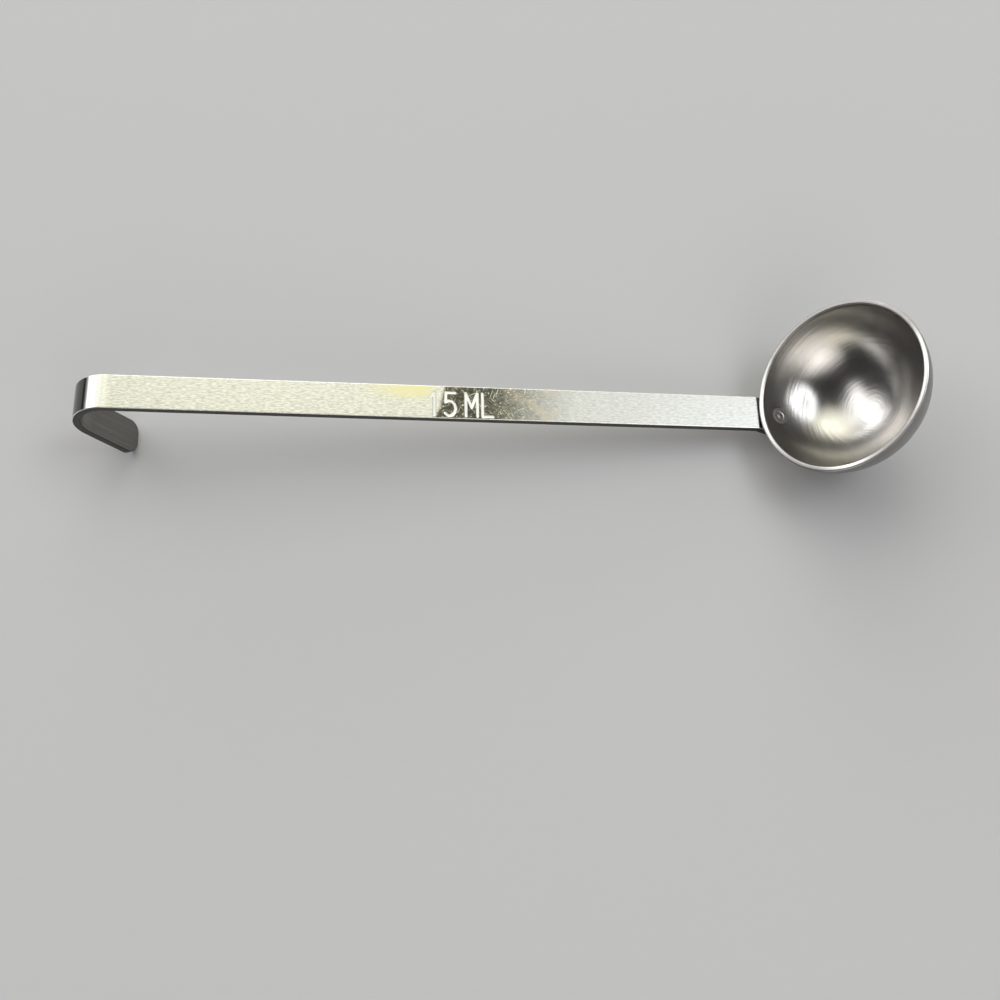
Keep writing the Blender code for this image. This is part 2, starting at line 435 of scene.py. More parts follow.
    def scratches(self, graph: Graph, flat: Signal) -> Signal:
        """Fine straight scratches that cross each other.

        Args:
            graph: The material's graph.
            flat: Places on the flat strip.

        Returns:
            A number that is 1 in a scratch and 0 beside it.
        """
        total: Value = 0.0
        for angle in self.scratch_angles:
            lines = graph.noise(graph.turned(flat, angle), self.scratch)
            total = graph.step(lines, self.scratch_limits) + total
        return graph.math("MINIMUM", total, 1.0)


@dataclass(frozen=True)
class RubbedEdgeSteel:
    """The strip's rounded edges, rubbed bright."""

    name: str = "handle_rubbed_edge"
    colour: Colour = (0.93, 0.93, 0.87)
    worn_colour: Colour = (0.80, 0.80, 0.75)
    roughness: float = 0.27
    lines: Grain = Grain((70.0, 4000.0, 4000.0))
    nicks: Grain = Grain((700.0, 700.0, 700.0), 3.0)
    nick_limits: Range = (0.5, 0.8)
    nick_swing: float = 0.10
    nick_share: float = 0.4
    depth: float = 0.0010 * MM

    def material(self) -> bpy.types.Material:
        """Builds the material.

        Returns:
            The material.
        """
        material, graph, shader = metal(self.name)
        flat = graph.attribute("flat")
        lines = graph.noise(flat, self.lines)
        nicks = graph.noise(flat, self.nicks)
        worn = graph.step(nicks, self.nick_limits)
        graph.feed(shader["Base Color"], graph.blend(rgba(self.colour), rgba(self.worn_colour), worn))
        graph.feed(shader["Roughness"], self.roughness + nicks.swing(self.nick_swing))
        graph.feed(shader["Normal"], graph.bump((lines + nicks * self.nick_share) * self.depth))
        return material


@dataclass(frozen=True)
class PaintedShadeSteel:
    """Steel left as it was rolled or cut, a little rougher than the brushed top and darkened by painted shade.
    """

    name: str
    colour: Colour
    streak_colour: Colour
    roughness: float
    anisotropy: float = 0.3
    mottle: Grain = Grain((500.0, 400.0, 500.0), 3.0)
    mottle_swing: float = 0.2
    lines: Grain = Grain((60.0, 3000.0, 5000.0))
    line_limits: Range = (0.45, 0.8)
    depth: float = 0.0015 * MM

    def material(self) -> bpy.types.Material:
        """Builds the material.

        Returns:
            The material.
        """
        material, graph, shader = metal(self.name, self.anisotropy)
        flat = graph.attribute("flat")
        mottle = graph.noise(flat, self.mottle)
        lines = graph.noise(flat, self.lines)
        streaked = graph.step(lines, self.line_limits)
        graph.feed(shader["Base Color"], graph.blend(rgba(self.colour), rgba(self.streak_colour), streaked))
        graph.feed(shader["Roughness"], self.roughness + mottle.swing(self.mottle_swing))
        graph.feed(shader["Normal"], graph.bump((mottle + lines) * self.depth))
        return material


@dataclass(frozen=True)
class TurnedSteel:
    """Sheet steel polished in fine rings about the cup's axis.

    The rings are noise whose first direction runs from the cup's bottom up to its rim. The other two run
    round the cup, where the noise changes little.
    """

    name: str
    colour: Colour
    worn_colour: Colour
    roughness: float
    unevenness: float = 0.4
    painted_shade_roughness: float = 0.0
    ring_depth: float = 0.024 * MM
    ring_pitch: float = 0.68 * MM
    ring_change: float = 1.1
    wide_ring_share: float = 0.25
    wide_ring_change: float = 0.7
    wide_ring_swing: float = 0.06
    cloud: Grain = Grain((210.0, 210.0, 210.0), 4.0)
    cloud_limits: Range = (0.35, 0.70)
    cloud_swing: float = 0.10
    grain: Grain = Grain((2600.0, 2600.0, 2600.0))
    fine_tone: float = 0.35

    def material(self) -> bpy.types.Material:
        """Builds the material.

        Returns:
            The material.
        """
        material, graph, shader = metal(self.name)
        turned = graph.attribute("turned")
        place = graph.attribute("place")
        pitch = 1.0 / self.ring_pitch
        wide_pitch = self.wide_ring_share * pitch
        rings = graph.noise(turned, Grain((pitch, self.ring_change, self.ring_change)))
        wide_rings = graph.noise(turned, Grain((wide_pitch, self.wide_ring_change, self.wide_ring_change)))
        cloud = graph.noise(place, self.cloud)
        grain = graph.noise(place, self.grain)
        painted_shade = graph.attribute("painted_shade", "Fac")
        tone = graph.step(cloud, self.cloud_limits) * self.unevenness
        # On the rim, painted shade adds to the tone, towards the second colour.
        tone = tone + (rings + grain - 1.0) * self.fine_tone + painted_shade
        graph.feed(shader["Base Color"], graph.blend(rgba(self.colour), rgba(self.worn_colour), tone))
        roughness = self.roughness + wide_rings.swing(self.wide_ring_swing) + cloud.swing(self.cloud_swing)
        graph.feed(shader["Roughness"], roughness + painted_shade * self.painted_shade_roughness)
        graph.feed(shader["Normal"], graph.bump(rings * self.ring_depth))
        return material


@dataclass(frozen=True)
class WeldSteel:
    """Steel that was melted and pressed: a little duller and darker than the sheet round it."""

    name: str = "weld_pressed_steel"
    colour: Colour = (0.68, 0.66, 0.63)
    grain_colour: Colour = (0.54, 0.52, 0.49)
    roughness: float = 0.30
    grain: Grain = Grain((2500.0, 2500.0, 2500.0), 3.0)
    grain_limits: Range = (0.5, 0.8)
    grain_swing: float = 0.15
    depth: float = 0.001 * MM

    def material(self) -> bpy.types.Material:
        """Builds the material.

        Returns:
            The material.
        """
        material, graph, shader = metal(self.name)
        grain = graph.noise(graph.attribute("place"), self.grain)
        grained = graph.step(grain, self.grain_limits)
        graph.feed(shader["Base Color"], graph.blend(rgba(self.colour), rgba(self.grain_colour), grained))
        graph.feed(shader["Roughness"], self.roughness + grain.swing(self.grain_swing))
        graph.feed(shader["Normal"], graph.bump(grain * self.depth))
        return material


def smooth_object(bm: bmesh.types.BMesh, name: str, sharp: float) -> bpy.types.Object:
    """Makes a smooth-shaded object of a mesh and frees the mesh.

    Args:
        bm: The finished mesh.
        name: The object's name.
        sharp: Edges that turn by more than this many radians stay sharp.

    Returns:
        The object, in the scene.
    """
    bmesh.ops.recalc_face_normals(bm, faces=bm.faces)
    mesh = bpy.data.meshes.new(name)
    bm.to_mesh(mesh)
    bm.free()
    mesh.shade_smooth()
    mesh.set_sharp_from_angle(angle=sharp)
    obj = bpy.data.objects.new(name, mesh)
    bpy.context.scene.collection.objects.link(obj)
    return obj


def carry(mesh: bpy.types.Mesh, name: str, values: np.ndarray) -> None:
    """Stores values with the mesh's points, for its material to read.

    Args:
        mesh: The mesh.
        name: The name that the material asks for.
        values: A number or a vector for each point.
    """
    kind, slot = ("FLOAT", "value") if values.ndim == 1 else ("FLOAT_VECTOR", "vector")
    attribute = mesh.attributes.new(name, kind, "POINT")
    attribute.data.foreach_set(slot, np.asarray(values, np.float32).ravel())


def points_of(mesh: bpy.types.Mesh) -> np.ndarray:
    """Reads the mesh's points.

    Args:
        mesh: The mesh.

    Returns:
        The points, one row each.
    """
    points = np.zeros(3 * len(mesh.vertices))
    mesh.vertices.foreach_get("co", points)
    return points.reshape(-1, 3)


def reshape(mesh: bpy.types.Mesh, points: np.ndarray) -> None:
    """Moves the mesh's points, one row each."""
    mesh.vertices.foreach_set("co", points.astype(np.float32).ravel())


def arc(centre: Point, radius: float, start: float, end: float, steps: int) -> list[Point]:
    """Points (across, up) on an arc, at angles measured from the downward direction."""
    angles = [start + (end - start) * step / steps for step in range(steps + 1)]
    return [(centre[0] + radius * math.sin(a), centre[1] - radius * math.cos(a)) for a in angles]


def spun(profile: Sequence[Point], segments: int) -> bmesh.types.BMesh:
    """Turns an outline about Z.

    Args:
        profile: The outline's (radius, height) points, with both ends on the axis.
        segments: The number of steps round.

    Returns:
        The closed mesh.
    """
    bm = bmesh.new()
    points = [bm.verts.new((radius, 0.0, height)) for radius, height in profile]
    edges = [bm.edges.new(pair) for pair in zip(points, points[1:])]
    axis = {"cent": (0.0, 0.0, 0.0), "axis": (0.0, 0.0, 1.0), "angle": math.tau}
    bmesh.ops.spin(bm, geom=points + edges, steps=segments, use_merge=True, **axis)
    bmesh.ops.remove_doubles(bm, verts=bm.verts, dist=SAME_POINT)
    return bm


@dataclass
class Pose:
    """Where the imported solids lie, read from the frame."""

    cup_radius: float = 21.0 * MM
    handle_rise: float = math.radians(47.5)
    tilt: float = field(init=False)
    centre: Vector = field(init=False)

    def __post_init__(self) -> None:
        """Reads the handle's slope from its top face and the ball's centre from the cup's box."""
        mounts = {mount["name"]: mount for mount in frame["record"]["mounts"]}
        normal = mounts["strip_top_face"]["axis"]
        slope = math.atan2(normal[0], normal[2])
        low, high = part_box("bowl")
        self.tilt = self.handle_rise - slope
        self.centre = Vector((high.x - self.cup_radius, 0.0, low.z + self.cup_radius))

    def matrix(self) -> Matrix:
        """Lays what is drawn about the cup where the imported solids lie."""
        return Matrix.Translation(self.centre) @ Matrix.Rotation(-self.tilt, 4, "Y")


class CupFace(Enum):
    """The faces of the cup that are finished apart. The value is the material's place on the piece."""

    OUTSIDE = 0
    RIM = 1
    INSIDE = 2


@dataclass
class Cup:
    """The cup: a little less than half of a ball, pressed from sheet and polished."""

    pose: Pose
    wall: float = 0.9 * MM
    rim_below_centre: float = 2.0 * MM
    rim_round_outside: float = 0.38 * MM
    rim_round_inside: float = 0.34 * MM
    rim_bead: float = 0.26 * MM
    rim_bead_depth: float = 1.5 * MM
    # How far below its top the rim can take painted shade, in shares of its outer rounding.
    rim_painted_shade_reach: float = 1.2
    flat_spot: tuple[float, float, float] = (-15.07 * MM, 4.37 * MM, -12.56 * MM)
    flat_height: float = 0.33 * MM
    flat_reach: float = 3.7 * MM
    segments: int = 192
    arc_steps: int = 96
    round_steps: int = 7
    sharp_edge: float = math.radians(40.0)
    # The turns about the axis at which a highlight is painted on the rim, and how far each reaches, in
    # degrees.
    rim_painted_highlights: tuple[tuple[float, float], ...] = ((180.0, 30.0), (-8.0, 26.0), (-90.0, 14.0))
    finishes: dict[CupFace, TurnedSteel] = field(
        default_factory=lambda: {
            # The outside's colours are darkened by painted shade, far below the inside's steel.
            CupFace.OUTSIDE: TurnedSteel(
                name="cup_outside_steel",
                colour=(0.29, 0.28, 0.27),
                worn_colour=(0.23, 0.225, 0.215),
                roughness=0.32,
            ),
            # The rim's second colour is also its painted shade, away from its painted highlights.
            CupFace.RIM: TurnedSteel(
                name="cup_rim_steel",
                colour=(0.86, 0.85, 0.82),
                worn_colour=(0.32, 0.31, 0.30),
                roughness=0.28,
                unevenness=0.15,
                painted_shade_roughness=0.10,
            ),
            CupFace.INSIDE: TurnedSteel(
                name="cup_inside_steel",
                colour=(0.70, 0.68, 0.65),
                worn_colour=(0.62, 0.595, 0.565),
                roughness=0.24,
            ),
        }
    )

    @property
    def inner_radius(self) -> float:
        """The radius of the cup's inside."""
        return self.pose.cup_radius - self.wall

    @property
    def middle_radius(self) -> float:
        """The radius of the middle of the cup's wall."""
        return self.pose.cup_radius - 0.5 * self.wall

    def profile(self) -> list[Point]:
        """Draws the cup's section: up the outside, over the rim's rounded edges and down the inside.

        Returns:
            The section's (radius, height) points.
        """
        outer, inner = self.rim_round_outside, self.rim_round_inside
        outer_height, inner_height = -self.rim_below_centre - outer, -self.rim_below_centre - inner
        outer_top = math.acos(-outer_height / self.pose.cup_radius)
        inner_top = math.acos(-inner_height / self.inner_radius)
        outside = arc((0.0, 0.0), self.pose.cup_radius, 0.0, outer_top, self.arc_steps)
        inside = self.beaded(arc((0.0, 0.0), self.inner_radius, inner_top, 0.0, self.arc_steps))
        outer_middle = (outside[-1][0] - outer, outer_height)
        inner_middle = (inside[0][0] + inner, inner_height)
        outer_edge = arc(outer_middle, outer, 0.5 * math.pi, math.pi, self.round_steps)
        inner_edge = arc(inner_middle, inner, math.pi, 1.5 * math.pi, self.round_steps)
        return outside + outer_edge[1:] + inner_edge[:-1] + inside

    def beaded(self, inside: list[Point]) -> list[Point]:
        """Thickens the wall a little towards the rim, as the pressed edge is.

        Args:
            inside: The (radius, height) points of the inside.

        Returns:
            The points, moved in by a share that rises smoothly up to the rim.
        """
        start = -self.rim_below_centre - self.rim_bead_depth
        found = []
        for radius, height in inside:
            share = min(1.0, max(0.0, (height - start) / (self.rim_bead_depth - self.rim_round_inside)))
            found.append((radius - self.rim_bead * share * share * (3.0 - 2.0 * share), height))
        return found

    def flattened(self, points: np.ndarray) -> np.ndarray:
        """Raises the inside a little round one spot, where the wall was pressed flatter.

        Args:
            points: Points about the ball's centre, one row each.

        Returns:
            The points, with those of the outside where they were.
        """
        away = np.linalg.norm(points - np.array(self.flat_spot), axis=1)
        size = np.linalg.norm(points, axis=1)
        rise = self.flat_height * np.exp(-((away / self.flat_reach) ** 2))
        rise = np.where(size < self.middle_radius, rise, 0.0)
        return points * (1.0 - rise / size)[:, None]

    def rim_painted_shade(self, points: np.ndarray, turn: np.ndarray) -> np.ndarray:
        """How much painted shade the rim takes, which also makes it rougher: 0 at its painted highlights and
        on the rest of the cup, up to 1.

        Args:
            points: The cup's points.
            turn: The angle of each point about the cup's axis.

        Returns:
            A number for each point.
        """
        bright = np.zeros(len(points))
        for middle, reach in self.rim_painted_highlights:
            away = (np.degrees(turn) - middle + 180.0) % 360.0 - 180.0
            bright = np.maximum(bright, np.exp(-((away / reach) ** 2)))
        rim_start = -self.rim_below_centre - self.rim_painted_shade_reach * self.rim_round_outside
        return np.where(points[:, 2] > rim_start, 1.0 - bright, 0.0)

    def face_at(self, centre: Vector) -> CupFace:
        """Tells which of the cup's faces a point lies on.

        Args:
            centre: The point, from the ball's centre.

        Returns:
            The face.
        """
        if centre.z > -self.rim_below_centre - self.rim_round_outside:
            return CupFace.RIM
        return CupFace.OUTSIDE if centre.length > self.middle_radius else CupFace.INSIDE

    def build(self) -> bpy.types.Object:
        """Builds and dresses the cup.

        Returns:
            The piece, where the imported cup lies.
        """
        bm = spun(self.profile(), self.segments)
        for face in bm.faces:
            face.material_index = self.face_at(face.calc_center_median()).value
        cup = smooth_object(bm, "cup_shell", self.sharp_edge)
        for zone in CupFace:
            cup.data.materials.append(self.finishes[zone].material())
        points = points_of(cup.data)
        radius = np.hypot(points[:, 0], points[:, 1])
        turn = np.arctan2(points[:, 1], points[:, 0])
        travel = np.arctan2(radius, -points[:, 2]) * self.pose.cup_radius
        carry(cup.data, "turned", np.stack([travel, np.cos(turn), np.sin(turn)], 1))
        carry(cup.data, "painted_shade", self.rim_painted_shade(points, turn))
        carry(cup.data, "place", points)
        reshape(cup.data, self.flattened(points))
        cup.data.transform(self.pose.matrix())
        return cup


@dataclass
class StripPath:
    """The strip's side view, walked along its top face: the thickness lies to the left of the walk."""

    point: Vector
    heading: float
    length: float = 0.0
    stations: list[tuple[Vector, Vector, float]] = field(default_factory=list)

    def forward(self) -> Vector:
        """The direction of the walk."""
        return Vector((math.cos(self.heading), math.sin(self.heading)))

    def mark(self) -> None:
        """Notes the place, the way into the strip's thickness, and the length walked so far."""
        ahead = self.forward()
        self.stations.append((self.point.copy(), Vector((-ahead.y, ahead.x)), self.length))

    def straight(self, distance: float) -> None:
        """Walks straight on.

        Args:
            distance: How far.
        """
        self.point = self.point + self.forward() * distance
        self.length += distance
        self.mark()

    def bend(self, radius: float, turn: float, step: float) -> None:
        """Turns left by an angle, or right where it is negative, on a top face of the radius.

        Args:
            radius: The radius of the top face.
            turn: The angle to turn by.
            step: The widest angle between two stations.
        """
        count = max(2, math.ceil(abs(turn) / step))
        side = math.copysign(1.0, turn)
        ahead = self.forward()
        centre = self.point + Vector((-ahead.y, ahead.x)) * radius * side
        start = self.heading
        for index in range(1, count + 1):
            self.heading = start + turn * index / count
            ahead = self.forward()
            self.point = centre + Vector((ahead.y, -ahead.x)) * radius * side
            self.length += abs(turn) / count * radius
            self.mark()


@dataclass
class PressedMark:
    """The capacity, pressed into the strip's top face with plain punches."""

    text: str = "15 ML"
    start: float = 78.4 * MM
    base: float = -3.45 * MM
    height: float = 5.9 * MM
    glyph_width: float = 2.7 * MM
    advance: float = 3.75 * MM
    space: float = 1.2 * MM
    groove: float = 0.42 * MM
    groove_power: float = 1.5
    depth: float = 0.12 * MM
    burr: float = 0.012 * MM
    burr_width: float = 0.12 * MM
    # Each letter's lines, in shares of its width and height.
    glyphs: dict[str, tuple[tuple[Point, ...], ...]] = field(
        default_factory=lambda: {
            "1": (((0.18, 0.78), (0.5, 1.0), (0.5, 0.0)),),
            "5": (
                ((0.92, 1.0), (0.12, 1.0), (0.08, 0.58)),
                ((0.08, 0.58), (0.32, 0.65), (0.62, 0.63), (0.86, 0.50), (0.95, 0.32)),
                ((0.95, 0.32), (0.86, 0.13), (0.62, 0.01), (0.32, 0.0), (0.04, 0.10)),
            ),
            "M": (((0.0, 0.0), (0.0, 1.0), (0.5, 0.38), (1.0, 1.0), (1.0, 0.0)),),
            "L": (((0.05, 1.0), (0.05, 0.0), (0.95, 0.0)),),
        }
    )

    def strokes(self) -> list[tuple[Point, Point]]:
        """Lists every stroke of the mark.

        Returns:
            Pairs of (towards the cup, across) points, from the mark's start.
        """
        found = []
        pen = 0.0
        for letter in self.text:
            if letter == " ":
                pen += self.space
                continue
            for line in self.glyphs[letter]:
                spots = [(pen + x * self.glyph_width, self.base + y * self.height) for x, y in line]
                found += list(zip(spots, spots[1:]))
            pen += self.advance
        return found

    def length(self) -> float:
        """How far the mark reaches towards the cup."""
        return max(end[0] for stroke in self.strokes() for end in stroke)

    def relief(self, along: np.ndarray, across: np.ndarray) -> np.ndarray:
        """The height of the pressed surface above the flat.

        Args:
            along: Distances from the mark's start towards the cup.
            across: Distances across the strip, from its middle.

        Returns:
            The heights, below 0 in the grooves.
        """
        nearest = np.full(along.shape, np.inf)
        for (x0, y0), (x1, y1) in self.strokes():
            dx, dy = x1 - x0, y1 - y0
            share = ((along - x0) * dx + (across - y0) * dy) / (dx * dx + dy * dy)
            share = np.clip(share, 0.0, 1.0)
            nearest = np.minimum(nearest, np.hypot(along - x0 - share * dx, across - y0 - share * dy))
        inside = np.clip(nearest / self.groove, 0.0, 1.0)
        press = -self.depth * np.cos(0.5 * np.pi * inside) ** self.groove_power
        raised = self.burr * np.exp(-(((nearest - self.groove) / self.burr_width) ** 2))
        return press + raised * (inside >= 1.0)


class StripFace(Enum):
    """The faces of the strip that are finished apart. The value is the material's place on the piece."""

    TOP = 0
    EDGE = 1
    SIDE = 2
    UNDER = 3


@dataclass
class Handle:
    """The handle: one flat strip with a pressed mark, bent into a hook and into a seat for the cup."""

    pose: Pose
    cup: Cup
    width: float = 8.3 * MM
    thickness: float = 1.85 * MM
    edge_round: float = 0.15 * MM
    straight: float = 151.375 * MM
    seat_gap: float = 0.3 * MM
    seat_top_below_rim: float = 1.1 * MM
    seat_length: float = 9.2 * MM
    seat_corner: float = 2.5 * MM
    seat_bend: float = 2.5 * MM
    hook_first_radius: float = 7.2 * MM
    hook_first_turn: float = math.radians(40.5)
    hook_second_radius: float = 9.7 * MM
    hook_second_turn: float = math.radians(84.8)
    hook_tail: float = 15.0 * MM
    hook_corner: float = 2.9 * MM
    bend_step: float = math.radians(2.5)
    seat_step: float = math.radians(1.0)
    corner_steps: int = 14
    round_steps: int = 5
    sharp_edge: float = math.radians(60.0)
    # A face within this share of the edge's rounding is level with the top or the underside.
    level_share: float = 0.01
    mark_grid: float = 0.10 * MM
    mark_margin: float = 0.9 * MM
    tangent_centre: float = 4.0
    mark: PressedMark = field(default_factory=PressedMark)
    finishes: dict[StripFace, StripSteel | PaintedShadeSteel | RubbedEdgeSteel] = field(
        default_factory=lambda: {
            StripFace.TOP: StripSteel(),
            StripFace.EDGE: RubbedEdgeSteel(),
            # The sides and the underside are darkened by painted shade.
            StripFace.SIDE: PaintedShadeSteel(
                name="handle_sheared_side_painted_shade",
                colour=(0.07, 0.068, 0.062),
                streak_colour=(0.12, 0.116, 0.105),
                roughness=0.42,
            ),
            StripFace.UNDER: PaintedShadeSteel(
                name="handle_underside_painted_shade",
                colour=(0.20, 0.194, 0.178),
                streak_colour=(0.26, 0.252, 0.23),
                roughness=0.40,
            ),
        }
    )

    def walk(self) -> tuple[StripPath, float]:
        """Walks the strip from the end of its seat to the end of its hook.

        Returns:
            The path, and the length at which the straight starts.
        """
        ball = self.pose.cup_radius
        seat_radius = ball + self.seat_gap
        rim_angle = math.acos(self.cup.rim_below_centre / ball)
        top_angle = rim_angle - self.seat_top_below_rim / ball
        end_angle = top_angle - self.seat_length / seat_radius
        start = Vector((-math.sin(end_angle), -math.cos(end_angle))) * seat_radius
        path = StripPath(start, math.pi - end_angle)
        path.mark()
        path.bend(seat_radius, end_angle - top_angle, self.seat_step)
        path.bend(self.seat_bend, top_angle - self.pose.handle_rise, self.bend_step)
        straight_start = path.length
        path.straight(self.straight)
        path.bend(self.hook_first_radius, self.hook_first_turn, self.bend_step)
        path.bend(self.hook_second_radius, self.hook_second_turn, self.bend_step)
        path.straight(self.hook_tail)
        return path, straight_start

    def corner(self, along: float, across: float, radius: float, start: float) -> list[Point]:
        """Points round one corner of the blank, a quarter turn from a start angle."""
        angles = [start + 0.5 * math.pi * step / self.corner_steps for step in range(self.corner_steps + 1)]
        return [(along + radius * math.cos(a), across + radius * math.sin(a)) for a in angles]

    def blank(self, length: float) -> bmesh.types.BMesh:
        """Cuts the flat strip: a plate with rounded corners and edges, its top face at height 0.

        Args:
            length: The strip's length.

        Returns:
            The strip's mesh, with the seat's end at 0 and the hook's end at the length.
        """
        half = 0.5 * self.width
        seat, hook = self.seat_corner, self.hook_corner
        outline = self.corner(length - hook, half - hook, hook, 0.0)
        outline += self.corner(seat, half - seat, seat, 0.5 * math.pi)
        outline += self.corner(seat, seat - half, seat, math.pi)
        outline += self.corner(length - hook, hook - half, hook, 1.5 * math.pi)
        bm = bmesh.new()
        top = bm.faces.new([bm.verts.new((along, across, 0.0)) for along, across in outline])
        grown = bmesh.ops.extrude_face_region(bm, geom=[top], use_keep_orig=True)["geom"]
        under = [item for item in grown if isinstance(item, bmesh.types.BMVert)]
        bmesh.ops.translate(bm, verts=under, vec=(0.0, 0.0, -self.thickness))
        bmesh.ops.recalc_face_normals(bm, faces=bm.faces)
        half_depth = 0.5 * self.thickness
        rims = [edge for edge in bm.edges if abs(edge.verts[0].co.z - edge.verts[1].co.z) < half_depth]
        settings = {"segments": self.round_steps, "profile": ROUND_PROFILE, "affect": "EDGES"}
        bmesh.ops.bevel(bm, geom=rims, offset=self.edge_round, **settings)
        return bm

    def score(self, bm: bmesh.types.BMesh, lengths: Sequence[float]) -> None:
        """Scores the blank across, so that it can bend there.

        Args:
            bm: The flat strip.
            lengths: Where it is scored.
        """
        for length in lengths:
            whole = bm.verts[:] + bm.edges[:] + bm.faces[:]
            plane = {"plane_co": (length, 0.0, 0.0), "plane_no": (1.0, 0.0, 0.0)}
            bmesh.ops.bisect_plane(bm, geom=whole, dist=SAME_POINT, **plane)

    def press(self, bm: bmesh.types.BMesh, mark_start: float) -> None:
        """Presses the mark into the top face, on a fine grid of points.

        Args:
            bm: The flat strip, scored at both ends of the pressed patch.
            mark_start: The length at which the mark starts.
        """
        low, high = self.patch(mark_start)
        reach = 0.5 * self.width - self.edge_round
        middle = Vector((0.5 * (low + high), 0.0, 0.0))
        face = min(bm.faces, key=lambda item: (item.calc_center_median() - middle).length)
        sides = list(face.edges)
        bmesh.ops.delete(bm, geom=[face], context="FACES_ONLY")
        columns = math.ceil((high - low) / self.mark_grid)
        rows = math.ceil(2.0 * reach / self.mark_grid)
        for side in sides:
            lengthwise = abs(side.verts[0].co.x - side.verts[1].co.x) > SEAM
            bmesh.ops.subdivide_edges(bm, edges=[side], cuts=(columns if lengthwise else rows) - 1)
        scale = Matrix.Diagonal((high - low, 2.0 * reach, 1.0, 1.0))
        place = Matrix.Translation(middle) @ scale
        bmesh.ops.create_grid(bm, x_segments=columns, y_segments=rows, size=0.5, matrix=place)
        bmesh.ops.remove_doubles(bm, verts=bm.verts, dist=SEAM)
        inside = [v for v in bm.verts if low - SEAM < v.co.x < high + SEAM and abs(v.co.z) < SEAM]
        points = np.array([v.co for v in inside])
        for vertex, height in zip(inside, self.mark.relief(mark_start - points[:, 0], points[:, 1])):
            vertex.co.z += height

    def patch(self, mark_start: float) -> Range:
        """The lengths between which the mark is pressed."""
        return mark_start - self.mark.length() - self.mark_margin, mark_start + self.mark_margin

    def face_at(self, centre: Vector) -> StripFace:
        """Tells which of the strip's faces a point lies on.

        Args:
            centre: The point, on the flat strip.

        Returns:
            The face. The lower rounded edges belong to the sides.
        """
        depth = -centre.z
        if self.edge_round < depth < self.thickness - self.edge_round:
            return StripFace.SIDE
        level = self.level_share * self.edge_round
        if depth <= level:
            return StripFace.TOP
        if self.thickness - depth <= level:
            return StripFace.UNDER
        return StripFace.EDGE if depth < 0.5 * self.thickness else StripFace.SIDE

    def pressed(self, points: np.ndarray, mark_start: float) -> np.ndarray:
        """How deep in a groove of the mark each point lies.

        Args:
            points: Points of the flat strip, one row each.
            mark_start: The length at which the mark starts.

        Returns:
            A number for each point, from 0 on the flat to 1 in the deepest part.
        """
        low, high = self.patch(mark_start)
        inside = (points[:, 0] > low) & (points[:, 0] < high) & (points[:, 2] > -0.5 * self.thickness)
        inside &= np.abs(points[:, 1]) < 0.5 * self.width - self.edge_round
        depth = -self.mark.relief(mark_start - points[:, 0], points[:, 1]) / self.mark.depth
        return np.where(inside, np.clip(depth, 0.0, 1.0), 0.0)

    def build(self) -> bpy.types.Object:
        """Builds and dresses the handle.

        Returns:
            The piece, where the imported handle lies.
        """
        path, straight_start = self.walk()
        mark_start = straight_start + self.mark.start
        bm = self.blank(path.length)
        lengths = [length for _, _, length in path.stations[1:-1]]
        self.score(bm, [*lengths, *self.patch(mark_start)])
        bmesh.ops.recalc_face_normals(bm, faces=bm.faces)
        for face in bm.faces:
            face.material_index = self.face_at(face.calc_center_median()).value
        self.press(bm, mark_start)
        strip = smooth_object(bm, "handle_strip", self.sharp_edge)
        points = points_of(strip.data)
        carry(strip.data, "flat", points - np.array([straight_start, 0.0, 0.0]))
        carry(strip.data, "pressed", self.pressed(points, mark_start))
        self.bend(strip, path, points)
        weigh = strip.modifiers.new("flat_faces_stay_flat", "WEIGHTED_NORMAL")
        weigh.keep_sharp = True
        for zone in StripFace:
            strip.data.materials.append(self.finishes[zone].material())
        return strip

    def bend(self, strip: bpy.types.Object, path: StripPath, points: np.ndarray) -> None:
        """Bends the flat strip along its path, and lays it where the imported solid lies.

        Its texture space is centred far beyond the hook, so that the grain's tangent points across the strip.

        Args:
            strip: The flat strip.
            path: The side view that it takes.
            points: The flat strip's points, one row each.
        """
        at = np.array([length for _, _, length in path.stations])
        line = np.array([(*point, *inward) for point, inward, _ in path.stations])
        x, z, in_x, in_z = (np.interp(points[:, 0], at, line[:, column]) for column in range(4))
        size = np.hypot(in_x, in_z)
        depth = -points[:, 2] / size
        bent = np.stack([x + in_x * depth, points[:, 1], z + in_z * depth], 1)
        reshape(strip.data, bent)
        strip.data.transform(self.pose.matrix())
        strip.data.use_auto_texspace = False
        strip.data.texspace_location = (-self.tangent_centre, 0.0, 0.0)
        strip.data.texspace_size = (1.0, 1.0, 1.0)
        strip.data.update()


